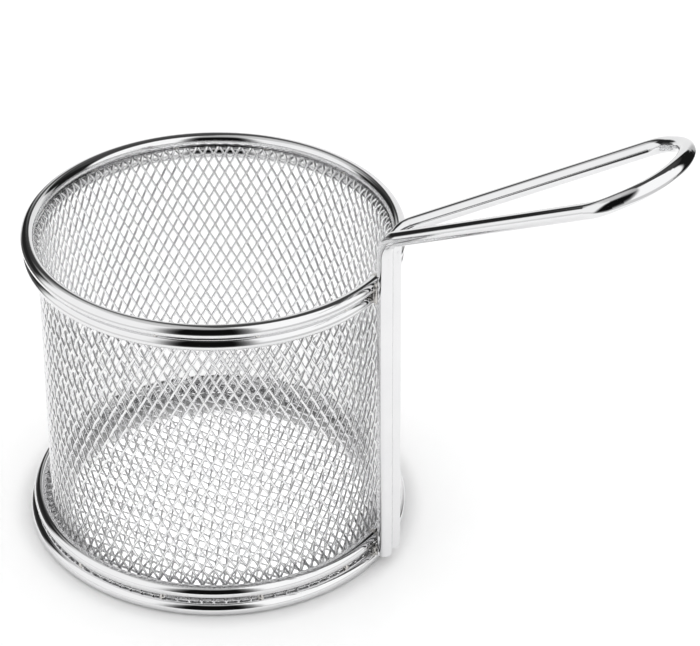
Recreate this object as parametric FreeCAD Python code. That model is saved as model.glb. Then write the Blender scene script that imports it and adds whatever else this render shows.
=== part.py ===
"""Small round wire basket with a long loop handle, all dimensions in millimetres.

Frame: the basket stands on Z = 0 with its axis on Z, and the handle reaches out along +X.
Every wire is stainless steel. Two rings hold the cloth at the rim and two at the base, and
one bent wire makes both the legs and the loop of the handle.
"""
import FreeCAD, Part
from FreeCAD import Vector
from math import asin, cos, degrees, radians, sin, tan
import os

# ---- driving dimensions ------------------------------------------------------------------
wire_d = 3.3                # frame wire of the four rings
rim_upper_outer_d = 90.0    # over the upper rim ring
rim_lower_outer_d = 89.3    # over the lower rim ring
height = 79.85              # floor to the top of the rim
rim_ring_pitch = 3.33       # centre height difference of the two rim rings
base_upper_outer_d = 91.1   # over the upper base ring
base_lower_outer_d = 93.2   # over the lower base ring, the foot
base_ring_pitch = 3.9       # centre height difference of the two base rings
foot_flat = 0.1             # depth of the flat on the underside of the foot

cloth_inner_r = 40.8        # inside of the wire-cloth wall
cloth_layer = 0.2           # solid thickness that stands for one family of cloth wires
cloth_edge_r = 43.3         # where the cloth's flat edge ends between the base rings
cloth_edge_z = 3.45         # underside of the wall's turned-out edge
flare_z = 75.7              # the wall starts to flare towards the rim here
flare_end_r = 41.9          # end of the flare, between the rim rings
flare_end_z = 76.75

handle_wire_d = 3.55        # the handle is bent from slightly thicker wire
handle_rise = 29.5          # slope of the loop above horizontal, degrees
leg_half_gap = 2.05         # half the distance between the two leg centres
leg_end_z = 3.5             # square-cut lower ends of the legs
neck_z = 91.3               # height where the legs turn out into the loop
neck_bend_r = 7.0
splay_s = 5.0               # distances along the loop from the neck, and half widths
splay_w = 3.95
splay_bend_r = 6.0
shoulder_s = 65.2
shoulder_w = 15.8
shoulder_bend_r = 8.0
corner_s = 75.0
corner_w = 10.5
corner_bend_r = 13.0
loop_length = 77.7
loop_end_bend_r = 15.5

fit_gap = 0.02              # the frame wires lie against each other with this left between
butt_weld_width = 1.2       # the weld that closes each ring
weld_proud = 0.02           # how far a closing weld stands out of its ring
tack_count = 12             # spot welds that pinch the cloth between two rings
tack_r = 0.85
tack_first_angle = 15.0
rim_bead_r = 1.25           # beads that hold the legs on the rings
base_bead_r = 1.3
base_bead_inset = 0.3       # centre of the lower bead, inwards from the leg's surface

# ---- worked out from them ----------------------------------------------------------------
wire_r = wire_d / 2
handle_wire_r = handle_wire_d / 2
rim_upper_r = rim_upper_outer_d / 2 - wire_r
rim_lower_r = rim_lower_outer_d / 2 - wire_r
rim_upper_z = height - wire_r
rim_lower_z = rim_upper_z - rim_ring_pitch
base_upper_r = base_upper_outer_d / 2 - wire_r
base_lower_r = base_lower_outer_d / 2 - wire_r
base_lower_z = wire_r - foot_flat
base_upper_z = base_lower_z + base_ring_pitch
leg_top_r = rim_upper_r + wire_r + handle_wire_r + fit_gap
leg_bottom_r = base_lower_r + wire_r + handle_wire_r + fit_gap
axis = Vector(0, 0, 1)
centre = Vector(0, 0, 0)


def ring_sector(major_r, z, tube_r, start, sweep):
    """A round bar bent to major_r, from start degrees through sweep degrees."""
    circle = Part.makeCircle(tube_r, Vector(major_r, 0, z), Vector(0, 1, 0))
    bar = Part.Face(Part.Wire([circle])).revolve(centre, axis, sweep)
    bar.rotate(centre, axis, start)
    return bar


def ring_with_weld(major_r, z):
    """A ring bent from one wire, open at the handle, and the weld that closes it."""
    half = degrees(asin(butt_weld_width / 2 / major_r))
    wire = ring_sector(major_r, z, wire_r, half, 360 - 2 * half)
    weld = ring_sector(major_r, z, wire_r + weld_proud, -half, 2 * half)
    return wire, weld


def cloth_wall_layer(inner, outer):
    """One skin of the wall: flat edge, wall and flared top, between two offsets."""
    def outline(offset):
        return [
            Vector(cloth_edge_r, 0, cloth_edge_z + offset),
            Vector(cloth_inner_r + offset, 0, cloth_edge_z + offset),
            Vector(cloth_inner_r + offset, 0, flare_z),
            Vector(flare_end_r + offset, 0, flare_end_z),
        ]
    points = outline(inner) + outline(outer)[::-1]
    face = Part.Face(Part.makePolygon(points + points[:1]))
    return face.revolve(centre, axis, 360)


def cloth_base_layer(z):
    return Part.makeCylinder(cloth_edge_r, cloth_layer, Vector(0, 0, z))


def bent_path(points, bend_radii):
    """Straight runs between the points, with an arc of its own radius at each inner one."""
    edges = []
    start = points[0]
    for before, corner, after, bend_r in zip(points, points[1:], points[2:], bend_radii):
        back = (before - corner).normalize()
        on = (after - corner).normalize()
        half_angle = back.getAngle(on) / 2
        arc_start = corner + back * (bend_r / tan(half_angle))
        arc_end = corner + on * (bend_r / tan(half_angle))
        middle = (back + on).normalize()
        arc_middle = corner + middle * (bend_r / sin(half_angle) - bend_r)
        edges.append(Part.makeLine(start, arc_start))
        edges.append(Part.Arc(arc_start, arc_middle, arc_end).toShape())
        start = arc_end
    edges.append(Part.makeLine(start, points[-1]))
    return Part.Wire(edges)


def leg_r(z):
    """Distance of the leg's centre from the axis: it leans from the foot in to the rim."""
    lean = (leg_bottom_r - leg_top_r) / (rim_upper_z - base_lower_z)
    return leg_top_r + (rim_upper_z - z) * lean


def on_loop(along, across):
    """A point in the plane of the loop, along the slope from the neck and across it."""
    rise = radians(handle_rise)
    return Vector(leg_r(neck_z) + along * cos(rise), across, neck_z + along * sin(rise))


def handle_wire():
    """One bent wire: up one leg, round the loop and down the other leg."""
    def side(sign):
        return [
            Vector(leg_r(leg_end_z), sign * leg_half_gap, leg_end_z),
            Vector(leg_r(neck_z), sign * leg_half_gap, neck_z),
            on_loop(splay_s, sign * splay_w),
            on_loop(shoulder_s, sign * shoulder_w),
            on_loop(corner_s, sign * corner_w),
        ]
    points = side(-1) + [on_loop(loop_length, 0)] + side(1)[::-1]
    bends = [neck_bend_r, splay_bend_r, shoulder_bend_r, corner_bend_r]
    path = bent_path(points, bends + [loop_end_bend_r] + bends[::-1])
    direction = points[1] - points[0]
    section = Part.Wire([Part.makeCircle(handle_wire_r, points[0], direction)])
    return path.makePipeShell([section], True, False)


def tack_welds(r, z, neighbours):
    """Spot welds in the groove between two rings, shaped by the wires beside them."""
    tacks = []
    for index in range(tack_count):
        angle = tack_first_angle + index * 360 / tack_count
        place = Vector(r * cos(radians(angle)), r * sin(radians(angle)), z)
        tacks.extend(Part.makeSphere(tack_r, place).cut(neighbours).Solids)
    return Part.makeCompound(tacks)


def leg_bead(sign, r, z_low, z_high, bead_r, neighbours):
    """A weld bead in the corner between one leg and the rings that it crosses."""
    foot = Vector(r, sign * leg_half_gap, z_low)
    bead = Part.makeSphere(bead_r, foot)
    if z_high > z_low:
        bead = bead.fuse(Part.makeCylinder(bead_r, z_high - z_low, foot))
        bead = bead.fuse(Part.makeSphere(bead_r, foot + axis * (z_high - z_low)))
    return bead.cut(neighbours).removeSplitter()


def export(name, shape):
    shape.exportStep("parts/" + name + ".step")


os.makedirs("parts", exist_ok=True)

ring_places = {
    "rim_upper": (rim_upper_r, rim_upper_z),
    "rim_lower": (rim_lower_r, rim_lower_z),
    "base_upper": (base_upper_r, base_upper_z),
    "base_lower": (base_lower_r, base_lower_z),
}
rings = {}
welds = {}
under_floor = Part.makeBox(base_lower_outer_d, base_lower_outer_d, wire_d)
under_floor.translate(Vector(-base_lower_outer_d / 2, -base_lower_outer_d / 2, -wire_d))
for place, (ring_r, ring_z) in ring_places.items():
    wire, weld = ring_with_weld(ring_r, ring_z)
    if place == "base_lower":
        wire = wire.cut(under_floor)
        weld = weld.cut(under_floor)
    rings[place] = wire
    welds[place] = weld
    export(place + "_ring", wire)
    export(place + "_butt_weld", weld)

export("wall_wires_right_hand", cloth_wall_layer(0, cloth_layer))
export("wall_wires_left_hand", cloth_wall_layer(cloth_layer, 2 * cloth_layer))
export("base_wires_lengthwise", cloth_base_layer(cloth_edge_z - cloth_layer))
export("base_wires_crosswise", cloth_base_layer(cloth_edge_z - 2 * cloth_layer))

handle = handle_wire()
export("handle_wire", handle)

for band, bead_r, inset in (("rim", rim_bead_r, 0), ("base", base_bead_r, base_bead_inset)):
    pair = [rings[band + "_upper"], rings[band + "_lower"]]
    upper_r, upper_z = ring_places[band + "_upper"]
    lower_r, lower_z = ring_places[band + "_lower"]
    groove_r = (upper_r + lower_r) / 2
    groove_z = (upper_z + lower_z) / 2
    export(band + "_tack_welds", tack_welds(groove_r, groove_z, pair))
    if band == "rim":
        bead_z = (lower_z, upper_z)
    else:
        bead_z = (groove_z, groove_z)
    bead_place_r = leg_r(groove_z) - handle_wire_r - inset
    neighbours = pair + [welds[band + "_upper"], welds[band + "_lower"], handle]
    for side_name, sign in (("right", -1), ("left", 1)):
        bead = leg_bead(sign, bead_place_r, bead_z[0], bead_z[1], bead_r, neighbours)
        export("handle_" + side_name + "_" + band + "_weld", bead)
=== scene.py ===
"""Looks of the round wire mesh serving basket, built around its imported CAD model.

The rings, the handle and the welds are the CAD's own nodes with better materials. The cloth is the part
that is made here: every wire of the woven wall and of the woven base is a crimped, swept wire that passes
over and under the wires it crosses. Lengths are in metres, and MM turns millimetres into metres.
"""

import math

import bmesh
import bpy
import numpy as np
from mathutils import Matrix, Vector


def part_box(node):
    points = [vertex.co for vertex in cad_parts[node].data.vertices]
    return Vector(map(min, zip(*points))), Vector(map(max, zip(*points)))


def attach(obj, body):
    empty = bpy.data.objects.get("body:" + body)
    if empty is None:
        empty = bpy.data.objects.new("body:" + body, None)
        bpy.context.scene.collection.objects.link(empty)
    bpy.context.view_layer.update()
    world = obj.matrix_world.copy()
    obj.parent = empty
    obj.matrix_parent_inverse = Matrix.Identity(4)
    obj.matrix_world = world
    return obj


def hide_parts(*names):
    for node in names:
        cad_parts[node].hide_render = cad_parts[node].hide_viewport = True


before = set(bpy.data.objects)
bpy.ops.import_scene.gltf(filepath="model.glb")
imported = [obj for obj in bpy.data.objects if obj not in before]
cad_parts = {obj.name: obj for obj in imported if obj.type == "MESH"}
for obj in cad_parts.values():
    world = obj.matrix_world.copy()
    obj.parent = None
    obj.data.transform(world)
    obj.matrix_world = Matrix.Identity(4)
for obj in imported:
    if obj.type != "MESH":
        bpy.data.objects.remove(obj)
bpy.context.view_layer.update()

MM = 0.001
BODY = "root"
QUARTER_TURN = math.pi / 2
ROUNDING = 1e-6                 # allowed when two angles are compared


# The rings, measured on the frame.

FRAME_WIRE_R = (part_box("rim_upper_ring")[1].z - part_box("rim_upper_ring")[0].z) / 2


def ring_line(node):
    """Radius and height of the line that runs round inside a ring's wire."""
    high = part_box(node)[1]
    return high.y - FRAME_WIRE_R, high.z - FRAME_WIRE_R


RIM_LOWER_R, RIM_LOWER_Z = ring_line("rim_lower_ring")
BASE_UPPER_Z = ring_line("base_upper_ring")[1]
BASE_LOWER_R, BASE_LOWER_Z = ring_line("base_lower_ring")


# The cloth: sizes of its wire and weave.

CLOTH_WIRE_R = 0.31 * MM
PRESSED_WIRE_R = 0.24 * MM      # where the base rings squeeze the cloth
CRIMP = 0.35                    # how far a wire swings to each side, in wire radii: under 1, so that
                                # the wires sink into each other where they cross
CREST_SHARE = 0.10              # half the length of a crest, as a part of the way between two crossings
CREST_DROP = 0.06               # how far the wire has dropped at its ends, as a part of the crimp
WIRE_SIDES = 8
WIRE_EDGE = math.radians(60)    # sharper edges, those round a cut end, are not shaded smooth
SWEEP_ACROSS = (0.3, 0.2, 1.0)  # a direction that no wire sets out in
TONE = "wire_tone"              # a number from 0 to 1 that differs from wire to wire
TONE_STEP = 0.618

WALL_WIRES = 97                 # in each of the two directions
DIAMOND_HEIGHT = 5.0 * MM       # a wire moves round by one wire spacing over this height
WEAVE_LEVEL = DIAMOND_HEIGHT / 2    # the wires cross at every multiple of this height
WALL_CLEARANCE = 0.02 * MM      # between the wall's outer crests and the lower rim ring
WALL_R = RIM_LOWER_R - FRAME_WIRE_R - WALL_CLEARANCE - (1 + CRIMP) * CLOTH_WIRE_R

HEM_Z = (BASE_UPPER_Z + BASE_LOWER_Z) / 2    # the wall's hem lies between the base rings
HEM_PAST_RING = 0.1 * MM        # its edge reaches this far past the lower ring's line
HEM_EDGE_R = BASE_LOWER_R + HEM_PAST_RING
HEM_BEND_R = 0.9 * MM
FLARE_PAST_RING = 0.1 * MM      # the flare starts this far above the lower rim ring's line
FLARE_START_Z = RIM_LOWER_Z + FLARE_PAST_RING
FLARE_BEND_R = 1.9 * MM
FLARE_TURN = math.radians(60)
BEND_STEP = math.radians(5)     # the bends have a sample about every so much of their turn

BASE_PITCH = 2.55 * MM
BASE_LENGTHWISE = 0.0           # headings of the base wires, which don't cross squarely
BASE_CROSSWISE = math.radians(-64)
BASE_CLEARANCE = 0.1 * MM       # between the cut ends of the base wires and the lower base ring
BASE_EDGE_R = BASE_LOWER_R - FRAME_WIRE_R - BASE_CLEARANCE
BASE_UNDER_HEM = 0.35 * MM
BASE_Z = HEM_Z - BASE_UNDER_HEM


# Swept wires.

def sweep(points, radius, sides):
    """Surface points (wire, sample, side, 3) of round wires along points (wire, sample, 3)."""
    tangent = np.gradient(points, axis=1)
    tangent /= np.linalg.norm(tangent, axis=2, keepdims=True)
    across = np.cross(tangent[:, 0], SWEEP_ACROSS)
    rings = []
    angle = np.linspace(0, 2 * math.pi, sides, endpoint=False)
    for k in range(points.shape[1]):
        forward = tangent[:, k]
        across = across - np.sum(across * forward, axis=1, keepdims=True) * forward
        across /= np.linalg.norm(across, axis=1, keepdims=True)
        beside = np.cross(forward, across)
        offset = across[:, None] * np.cos(angle)[:, None] + beside[:, None] * np.sin(angle)[:, None]
        rings.append(points[:, k, None] + offset * radius[k])
    return np.stack(rings, axis=1)


def add_wires(surfaces, name, material):
    """One object from swept wires, given as a list of (sample, side, 3) arrays with flat cut ends."""
    vertices, faces, tones = [], [], []
    start = 0
    for index, surface in enumerate(surfaces):
        samples, sides = surface.shape[:2]
        grid = start + np.arange(samples * sides).reshape(samples, sides)
        turned = np.roll(grid, -1, axis=1)
        quads = np.stack([grid[:-1], turned[:-1], turned[1:], grid[1:]], axis=-1).reshape(-1, 4)
        vertices.append(surface.reshape(-1, 3))
        faces += quads.tolist()
        faces += [grid[0, ::-1].tolist(), grid[-1].tolist()]
        tones.append(np.full(samples * sides, (index * TONE_STEP) % 1.0))
        start += samples * sides
    mesh = bpy.data.meshes.new(name)
    mesh.from_pydata(np.concatenate(vertices).tolist(), [], faces)
    mesh.shade_smooth()
    mesh.set_sharp_from_angle(angle=WIRE_EDGE)
    tone = mesh.attributes.new(TONE, "FLOAT", "POINT")
    tone.data.foreach_set("value", np.concatenate(tones).astype(np.float32))
    mesh.materials.append(material)
    piece = bpy.data.objects.new(name, mesh)
    bpy.context.scene.collection.objects.link(piece)
    return piece


def crimp_samples(first, last):
    """Crossings between two places along a wire, with a sample each side of each: (place, crimp).
    Places are counted in crossings, and the crimp goes from 1 over a crossing to -1 under the next."""
    level = np.arange(math.ceil(first), math.floor(last) + 1)
    sign = np.where(level % 2 == 0, 1.0, -1.0)
    place = (level[:, None] + np.array([-CREST_SHARE, 0, CREST_SHARE])).ravel()
    crimp = (sign[:, None] * np.array([1 - CREST_DROP, 1, 1 - CREST_DROP])).ravel()
    inside = (place > first) & (place < last)
    return place[inside], crimp[inside]


def wall_section():
    """The wall's section, from its hem between the base rings to its flare between the rim rings:
    points (radius, height), the section's heading at each, and its length up to each."""
    hem_run = HEM_EDGE_R - WALL_R - HEM_BEND_R
    wall_run = FLARE_START_Z - HEM_Z - HEM_BEND_R
    moves = [
        (hem_run, 0.0),
        (HEM_BEND_R * QUARTER_TURN, -QUARTER_TURN),
        (wall_run, 0.0),
        (FLARE_BEND_R * FLARE_TURN, -FLARE_TURN),
    ]
    place = np.array([HEM_EDGE_R, HEM_Z])
    heading = math.pi
    points, headings, lengths = [place.copy()], [heading], [0.0]
    for length, turn in moves:
        pieces = max(1, round(abs(turn) / BEND_STEP))
        for _ in range(pieces):
            middle = heading + turn / pieces / 2
            place += length / pieces * np.array([math.cos(middle), math.sin(middle)])
            heading += turn / pieces
            points.append(place.copy())
            headings.append(heading)
            lengths.append(lengths[-1] + length / pieces)
    return np.array(points), np.array(headings), np.array(lengths)


def wall_wires(hand):
    """Surface points of the wall wires that climb to the right (hand 1) or to the left (hand -1)."""
    points, headings, lengths = wall_section()
    wall_foot = lengths[np.argmax(headings <= QUARTER_TURN + ROUNDING)]
    floor_level = wall_foot - (HEM_Z + HEM_BEND_R)
    corners = (lengths - floor_level) / WEAVE_LEVEL
    crest_place, crest_crimp = crimp_samples(corners[0], corners[-1])
    nearest_crest = np.min(np.abs(corners[:, None] - crest_place), axis=1)
    place = np.sort(np.concatenate([crest_place, corners[nearest_crest > CREST_SHARE / 2]]))
    crimp = np.interp(place, crest_place, crest_crimp)

    along = place * WEAVE_LEVEL + floor_level
    pressed = np.clip((wall_foot - along) / HEM_BEND_R, 0, 1)
    wire_r = CLOTH_WIRE_R + (PRESSED_WIRE_R - CLOTH_WIRE_R) * pressed
    swing = hand * crimp * wire_r * CRIMP
    heading = np.interp(along, lengths, headings)
    radius = np.interp(along, lengths, points[:, 0]) + swing * np.sin(heading)
    height = np.interp(along, lengths, points[:, 1]) - swing * np.cos(heading)

    spacing = 2 * math.pi / WALL_WIRES
    azimuth = spacing * (np.arange(WALL_WIRES)[:, None] + hand * place * WEAVE_LEVEL / DIAMOND_HEIGHT)
    height = np.broadcast_to(height, azimuth.shape)
    path = np.stack([radius * np.cos(azimuth), radius * np.sin(azimuth), height], axis=-1)
    return list(sweep(path, wire_r, WIRE_SIDES))


def base_wires(along, across, first_over):
    """Surface points of the base wires that head along, which cross the ones that head across.
    The middle wire's middle crossing goes over the other wire if first_over is 1, and under it if -1."""
    surfaces = []
    step = BASE_PITCH / abs(math.sin(across - along))
    forward = step * np.array([math.cos(along), math.sin(along)])
    sideways = step * np.array([math.cos(across), math.sin(across)])
    count = math.floor(BASE_EDGE_R / BASE_PITCH)
    for row in range(-count, count + 1):
        middle = -row * math.cos(across - along)
        reach = math.sqrt(BASE_EDGE_R ** 2 - (row * BASE_PITCH) ** 2) / step
        place, crimp = crimp_samples(middle - reach, middle + reach)
        place = np.concatenate([[middle - reach], place, [middle + reach]])
        crimp = np.concatenate([[0.0], crimp, [0.0]])
        lift = first_over * (-1) ** abs(row) * crimp * CLOTH_WIRE_R * CRIMP
        flat = row * sideways + place[:, None] * forward
        path = np.column_stack([flat, BASE_Z + lift])[None]
        surfaces.append(sweep(path, np.full(len(place), CLOTH_WIRE_R), WIRE_SIDES)[0])
    return surfaces


# Node helpers.

def new_material(name, shader_type="ShaderNodeBsdfPrincipled"):
    """A material with one shader: the material, its node tree and the shader's node."""
    material = bpy.data.materials.new(name)
    material.use_nodes = True
    tree = material.node_tree
    tree.nodes.clear()
    shader = tree.nodes.new(shader_type)
    output = tree.nodes.new("ShaderNodeOutputMaterial")
    tree.links.new(shader.outputs[0], output.inputs["Surface"])
    return material, tree, shader


def noise(tree, per_metre, detail=2.0):
    """A noise texture on the object's own coordinates, with so many features per metre."""
    place = tree.nodes.new("ShaderNodeTexCoord")
    texture = tree.nodes.new("ShaderNodeTexNoise")
    texture.inputs["Scale"].default_value = per_metre
    texture.inputs["Detail"].default_value = detail
    tree.links.new(place.outputs["Object"], texture.inputs["Vector"])
    return texture.outputs["Fac"]


def wire_tone(tree):
    """The number from 0 to 1 that each cloth wire has of its own."""
    tone = tree.nodes.new("ShaderNodeAttribute")
    tone.attribute_name = TONE
    return tone.outputs["Fac"]


def spread(tree, value, low, high):
    """Maps a 0 to 1 value to the range from low to high."""
    node = tree.nodes.new("ShaderNodeMapRange")
    node.inputs["To Min"].default_value = low
    node.inputs["To Max"].default_value = high
    tree.links.new(value, node.inputs["Value"])
    return node.outputs["Result"]


def mix_colours(tree, factor, first, second):
    """Mixes two colours by a 0 to 1 socket."""
    node = tree.nodes.new("ShaderNodeMix")
    node.data_type = "RGBA"
    node.inputs[6].default_value = (*first, 1)
    node.inputs[7].default_value = (*second, 1)
    tree.links.new(factor, node.inputs[0])
    return node.outputs[2]


def math_node(tree, operation, first, second=None, third=None):
    """A math node; each operand is a socket or a number."""
    node = tree.nodes.new("ShaderNodeMath")
    node.operation = operation
    for index, operand in enumerate((first, second, third)):
        if isinstance(operand, (int, float)):
            node.inputs[index].default_value = operand
        elif operand is not None:
            tree.links.new(operand, node.inputs[index])
    return node.outputs[0]


def rise(tree, value, place, softness):
    """0 below a place and 1 above it, with a smooth step of the given half width."""
    node = tree.nodes.new("ShaderNodeMapRange")
    node.interpolation_type = "SMOOTHSTEP"
    node.inputs["From Min"].default_value = -softness
    node.inputs["From Max"].default_value = softness
    tree.links.new(math_node(tree, "SUBTRACT", value, place), node.inputs["Value"])
    return node.outputs["Result"]


def band(tree, value, low, high, softness):
    """1 between two places and 0 outside them."""
    return math_node(tree, "SUBTRACT", rise(tree, value, low, softness), rise(tree, value, high, softness))


# Materials of the basket.

def metal(name, shade, colours, haze, roughness, grain, grain_depth):
    """Bare metal. Its colour follows the shade, its roughness the haze and its bumps the grain: each is a
    function that adds a 0 to 1 pattern to the material's nodes."""
    material, tree, shader = new_material(name)
    shader.inputs["Metallic"].default_value = 1.0
    tree.links.new(mix_colours(tree, shade(tree), *colours), shader.inputs["Base Color"])
    tree.links.new(spread(tree, haze(tree), *roughness), shader.inputs["Roughness"])
    bump = tree.nodes.new("ShaderNodeBump")
    bump.inputs["Distance"].default_value = grain_depth
    tree.links.new(grain(tree), bump.inputs["Height"])
    tree.links.new(bump.outputs["Normal"], shader.inputs["Normal"])
    return material


def polished_wire():
    """Bright polished stainless wire, with faint polishing haze."""
    return metal(
        "polished_wire",
        shade=lambda tree: noise(tree, per_metre=90),
        colours=((0.79, 0.79, 0.80), (0.85, 0.85, 0.85)),
        haze=lambda tree: noise(tree, per_metre=900, detail=4),
        roughness=(0.03, 0.09),
        grain=lambda tree: noise(tree, per_metre=2500, detail=3),
        grain_depth=0.002 * MM,
    )


def cloth_wire():
    """Drawn stainless wire of the cloth, brighter in some wires than in others."""
    return metal(
        "cloth_wire",
        shade=wire_tone,
        colours=((0.83, 0.83, 0.84), (0.91, 0.91, 0.91)),
        haze=lambda tree: noise(tree, per_metre=1200, detail=3),
        roughness=(0.03, 0.07),
        grain=lambda tree: noise(tree, per_metre=3000, detail=2),
        grain_depth=0.001 * MM,
    )


def weld_metal():
    """Melted and polished weld metal: rounder, rougher and a little straw coloured."""
    return metal(
        "weld_metal",
        shade=lambda tree: noise(tree, per_metre=700),
        colours=((0.62, 0.60, 0.57), (0.80, 0.79, 0.78)),
        haze=lambda tree: noise(tree, per_metre=1500, detail=3),
        roughness=(0.18, 0.38),
        grain=lambda tree: noise(tree, per_metre=1800, detail=3),
        grain_depth=0.03 * MM,
    )


# The stage: floor, light and camera.

STUDIO_LIGHT = 1.06
PRINT_GAMMA = 0.8               # deepens the middle greys, as in a printed catalogue picture

TABLE_R = 200 * MM              # the part of the floor that the polished wire mirrors
FLOOR_R = 3000 * MM
FLOOR_SEGMENTS = 96
TABLE_WHITE = 0.90
TABLE_ROUGHNESS = 0.9
TABLE_GLOW = 0.16               # the table is a light table, so some of its light comes from below painted light: it glows far more under the basket, which lightens the shade that the basket casts there
INNER_PAINTED_LIGHT = 0.82               # and more of it under the basket
PAINTED_LIGHT_R = 37 * MM                # where the painted light under the basket ends
PAINTED_LIGHT_FADE = 2 * MM
PAINTED_SHADOW_R = 49 * MM               # painted shadow: between the two the table does not glow, which darkens a band round the base ring
PAINTED_SHADOW_FADE = 3 * MM

TENT_R = 350 * MM
TENT_CENTRE_Z = 60 * MM
TENT_SEGMENTS = 96
TENT_RINGS = 64
FACING = math.radians(-60.6)    # azimuth from the basket to the camera

CAMERA_PLACE = Vector((286.0, -442.7, 397.5)) * MM
CAMERA_AIM = Vector((19.3, 31.0, 41.2)) * MM
CAMERA_ROLL = math.radians(0.84)
CAMERA_LENS = 135.6
SENSOR_WIDTH = 36.0


def floor_ring(name, inner, outer, material):
    """A flat ring of floor between two radii, or a disc where the inner one is 0."""
    turn = np.linspace(0, 2 * math.pi, FLOOR_SEGMENTS, endpoint=False)
    rims = [[(r * math.cos(a), r * math.sin(a), 0) for a in turn] for r in (inner, outer) if r > 0]
    around = np.arange(FLOOR_SEGMENTS)
    following = np.roll(around, -1)
    if len(rims) == 1:
        faces = [around.tolist()]
    else:
        corners = [around, around + FLOOR_SEGMENTS, following + FLOOR_SEGMENTS, following]
        faces = np.stack(corners, axis=1).tolist()
    mesh = bpy.data.meshes.new(name)
    mesh.from_pydata([p for rim in rims for p in rim], [], faces)
    mesh.materials.append(material)
    ring = bpy.data.objects.new(name, mesh)
    bpy.context.scene.collection.objects.link(ring)
    return ring


def floor_material():
    """White paper on a light table, with painted light that makes it glow most under the basket, and a
    painted shadow in a band just round the basket where it doesn't glow at all.
    """
    material, tree, shader = new_material("floor_paper_painted_light_and_shadow")
    shader.inputs["Base Color"].default_value = (TABLE_WHITE, TABLE_WHITE, TABLE_WHITE, 1)
    shader.inputs["Roughness"].default_value = TABLE_ROUGHNESS
    shader.inputs["Specular IOR Level"].default_value = 0.0
    shader.inputs["Emission Color"].default_value = (1, 1, 1, 1)
    place = tree.nodes.new("ShaderNodeNewGeometry")
    length = tree.nodes.new("ShaderNodeVectorMath")
    length.operation = "LENGTH"
    tree.links.new(place.outputs["Position"], length.inputs[0])
    distance = length.outputs["Value"]
    # painted light: a strong glow under the basket, against the shade the basket casts there
    inner = spread(tree, rise(tree, distance, PAINTED_LIGHT_R, PAINTED_LIGHT_FADE), INNER_PAINTED_LIGHT, 0)
    # painted shadow: no glow in a band just round the base ring, then an even glow beyond it
    outer = spread(tree, rise(tree, distance, PAINTED_SHADOW_R, PAINTED_SHADOW_FADE), 0, TABLE_GLOW)
    tree.links.new(math_node(tree, "ADD", inner, outer), shader.inputs["Emission Strength"])
    return material


def add_floor():
    """The floor. Polished wire mirrors only the part near the basket, and the tent beyond it."""
    material = floor_material()
    floor_ring("table_top", 0, TABLE_R, material)
    floor_ring("floor", TABLE_R, FLOOR_R, material).visible_glossy = False


def tent_angles(tree):
    """Where a point of the tent is, in degrees: across from the camera's side, and up from its middle."""
    place = tree.nodes.new("ShaderNodeNewGeometry")
    turned = tree.nodes.new("ShaderNodeVectorRotate")
    turned.rotation_type = "Z_AXIS"
    turned.inputs["Angle"].default_value = -FACING
    tree.links.new(place.outputs["Position"], turned.inputs["Vector"])
    split = tree.nodes.new("ShaderNodeSeparateXYZ")
    tree.links.new(turned.outputs["Vector"], split.inputs["Vector"])
    x, y, z = split.outputs
    across = math_node(tree, "MULTIPLY", math_node(tree, "ARCTAN2", y, x), math.degrees(1))
    height = math_node(tree, "DIVIDE", math_node(tree, "SUBTRACT", z, TENT_CENTRE_Z), TENT_R)
    up = math_node(tree, "MULTIPLY", math_node(tree, "ARCSINE", height), math.degrees(1))
    return across, up


def gap_edge(tree, up):
    """The far edge of the gap on the right, which leans out above the light and a little at the floor."""
    upright = 124.0
    lean_start = 25.0
    lean = 2.2
    foot_lean = 0.9
    dip = math_node(tree, "MAXIMUM", math_node(tree, "MULTIPLY", up, -1.0), 0.0)
    low_edge = math_node(tree, "MULTIPLY_ADD", dip, foot_lean, upright)
    climb = math_node(tree, "MAXIMUM", math_node(tree, "SUBTRACT", up, lean_start), 0.0)
    return math_node(tree, "MULTIPLY_ADD", climb, lean, low_edge)


def tent_panels(tree, across, up):
    """The tent's panels and the gaps between them: name, extent across, extent up, and brightness.
    An extent is its two edges and how soft they are, in degrees. A panel covers the ones before it."""
    away = math_node(tree, "ABSOLUTE", across)
    gap_end = gap_edge(tree, up)
    return [
        ("left roof", band(tree, across, -138, -27, 8), band(tree, up, 50, 82, 8), 0.76),
        ("left light", band(tree, across, -112, -27, 8), band(tree, up, -8, 62, 8), 1.08),
        ("left light's foot", band(tree, across, -112, -27, 8), band(tree, up, -60, -8, 8), 0.88),
        ("right light", band(tree, across, 24, 92, 6), band(tree, up, -4, 80, 8), 1.16),
        ("right light's foot", band(tree, across, 24, 92, 6), band(tree, up, -60, -4, 8), 0.80),
        ("back light", rise(tree, away, 138, 8), band(tree, up, -30, 40, 6), 0.98),
        ("back roof", rise(tree, away, 160, 8), rise(tree, up, 46, 6), 0.12),
        ("right gap's roof", band(tree, across, 93, gap_end, 5), rise(tree, up, 42, 8), 0.11),
        ("right gap", band(tree, across, 91, gap_end, 4), band(tree, up, -18, 48, 6), 0.025),
        ("back rail", band(tree, across, -185, -130, 8), band(tree, up, 28, 46, 6), 0.10),
        ("left gap's foot", band(tree, across, -136, -104, 6), band(tree, up, -30, 10, 6), 0.15),
        ("left gap", band(tree, across, -157, -103, 7), band(tree, up, 3, 34, 6), 0.04),
        ("camera's opening", band(tree, across, -22, 20, 8), band(tree, up, -20, 60, 12), 0.012),
    ]


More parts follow.
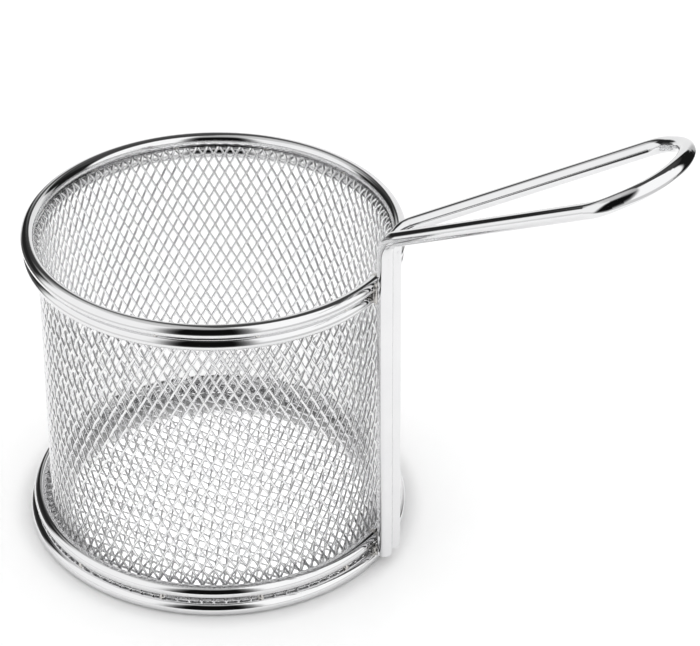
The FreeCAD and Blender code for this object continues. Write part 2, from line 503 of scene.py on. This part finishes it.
def tent_material():
    """White panels left and right of the camera and behind the basket, with dark gaps between them."""
    bare_tent = 0.62
    material, tree, glow = new_material("tent_panels", "ShaderNodeEmission")
    level = bare_tent
    for name, sideways, upwards, brightness in tent_panels(tree, *tent_angles(tree)):
        panel = tree.nodes.new("ShaderNodeMix")
        panel.label = name
        tree.links.new(math_node(tree, "MULTIPLY", sideways, upwards), panel.inputs[0])
        if isinstance(level, float):
            panel.inputs[2].default_value = level
        else:
            tree.links.new(level, panel.inputs[2])
        panel.inputs[3].default_value = brightness
        level = panel.outputs[0]
    tree.links.new(level, glow.inputs["Strength"])
    material.cycles.emission_sampling = "NONE"
    return material


def add_tent():
    """The light tent round the basket, which only polished metal sees."""
    mesh = bpy.data.meshes.new("tent")
    shape = bmesh.new()
    bmesh.ops.create_uvsphere(shape, u_segments=TENT_SEGMENTS, v_segments=TENT_RINGS, radius=TENT_R)
    shape.to_mesh(mesh)
    shape.free()
    mesh.materials.append(tent_material())
    tent = bpy.data.objects.new("tent", mesh)
    tent.location.z = TENT_CENTRE_Z
    bpy.context.scene.collection.objects.link(tent)
    tent.visible_camera = False
    tent.visible_diffuse = False
    tent.visible_shadow = False


def add_world():
    """A white studio all round."""
    world = bpy.data.worlds.new("studio")
    world.use_nodes = True
    bpy.context.scene.world = world
    background = world.node_tree.nodes["Background"]
    background.inputs["Color"].default_value = (1, 1, 1, 1)
    background.inputs["Strength"].default_value = STUDIO_LIGHT


def add_camera():
    """The camera, which looks down on the basket from beside its handle."""
    data = bpy.data.cameras.new("camera")
    data.lens = CAMERA_LENS
    data.sensor_width = SENSOR_WIDTH
    camera = bpy.data.objects.new("camera", data)
    bpy.context.scene.collection.objects.link(camera)
    level = (CAMERA_AIM - CAMERA_PLACE).to_track_quat("-Z", "Y").to_matrix().to_4x4()
    camera.matrix_world = Matrix.Translation(CAMERA_PLACE) @ level @ Matrix.Rotation(CAMERA_ROLL, 4, "Z")
    bpy.context.scene.camera = camera


# Putting it together.

frame_material = polished_wire()
cloth_material = cloth_wire()
weld_material = weld_metal()

FRAME_NODES = ["rim_upper_ring", "rim_lower_ring", "base_upper_ring", "base_lower_ring", "handle_wire"]
CLOTH = {
    "wall_wires_right_hand": wall_wires(1),
    "wall_wires_left_hand": wall_wires(-1),
    "base_wires_lengthwise": base_wires(BASE_LENGTHWISE, BASE_CROSSWISE, 1),
    "base_wires_crosswise": base_wires(BASE_CROSSWISE, BASE_LENGTHWISE, -1),
}

for node, surfaces in CLOTH.items():
    piece = add_wires(surfaces, "woven_" + node, cloth_material)
    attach(piece, BODY)
    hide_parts(node)

for node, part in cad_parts.items():
    if node not in CLOTH:
        part.data.materials.clear()
        part.data.materials.append(frame_material if node in FRAME_NODES else weld_material)

add_floor()
add_tent()
add_world()
add_camera()
bpy.context.scene.view_settings.view_transform = "Standard"
bpy.context.scene.view_settings.gamma = PRINT_GAMMA
